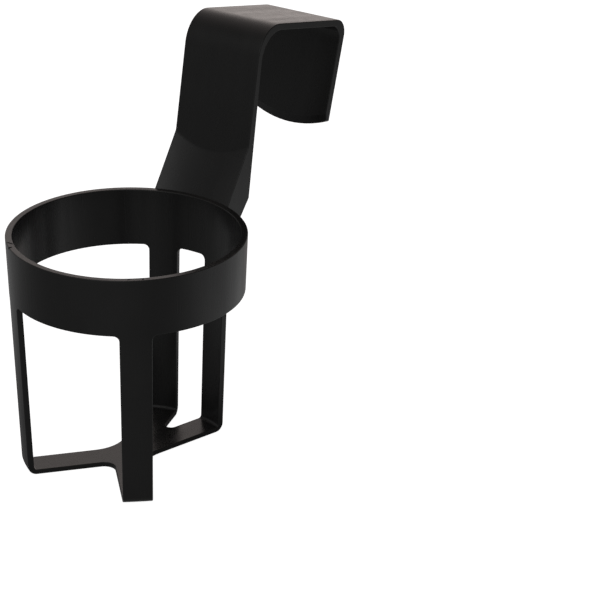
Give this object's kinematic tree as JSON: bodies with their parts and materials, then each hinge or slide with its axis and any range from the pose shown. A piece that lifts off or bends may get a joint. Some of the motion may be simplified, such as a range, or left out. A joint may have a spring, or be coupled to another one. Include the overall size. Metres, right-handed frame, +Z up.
{
  "type": "hook-over cup holder",
  "caption": "Black plastic open-frame cup holder: a ring on slim legs meeting in a flat cross, carried by a broad flat hook that hangs over an edge.",
  "frame": {"origin": "on the axis of the cup ring, at the level of the underside of the base cross", "axes": "+Z up along the cup's axis; +Y from the cup towards the hook; +X to the right, seen from the cup's side with the hook behind it"},
  "size_m": [0.0804, 0.1502, 0.1385],
  "materials": {
    "black_plastic": "fine matte moulded texture"
  },
  "bodies": {
    "root": {"cup_ring": "black_plastic", "front_left_leg": "black_plastic", "front_right_leg": "black_plastic", "rear_left_leg": "black_plastic", "rear_right_leg": "black_plastic", "front_left_base_bar": "black_plastic", "front_right_base_bar": "black_plastic", "base_cross": "black_plastic", "sloping_arm": "black_plastic", "left_gusset": "black_plastic", "right_gusset": "black_plastic", "upright_plate": "black_plastic", "hook_bridge": "black_plastic", "hook_leaf": "black_plastic"}
  },
  "joints": []
}
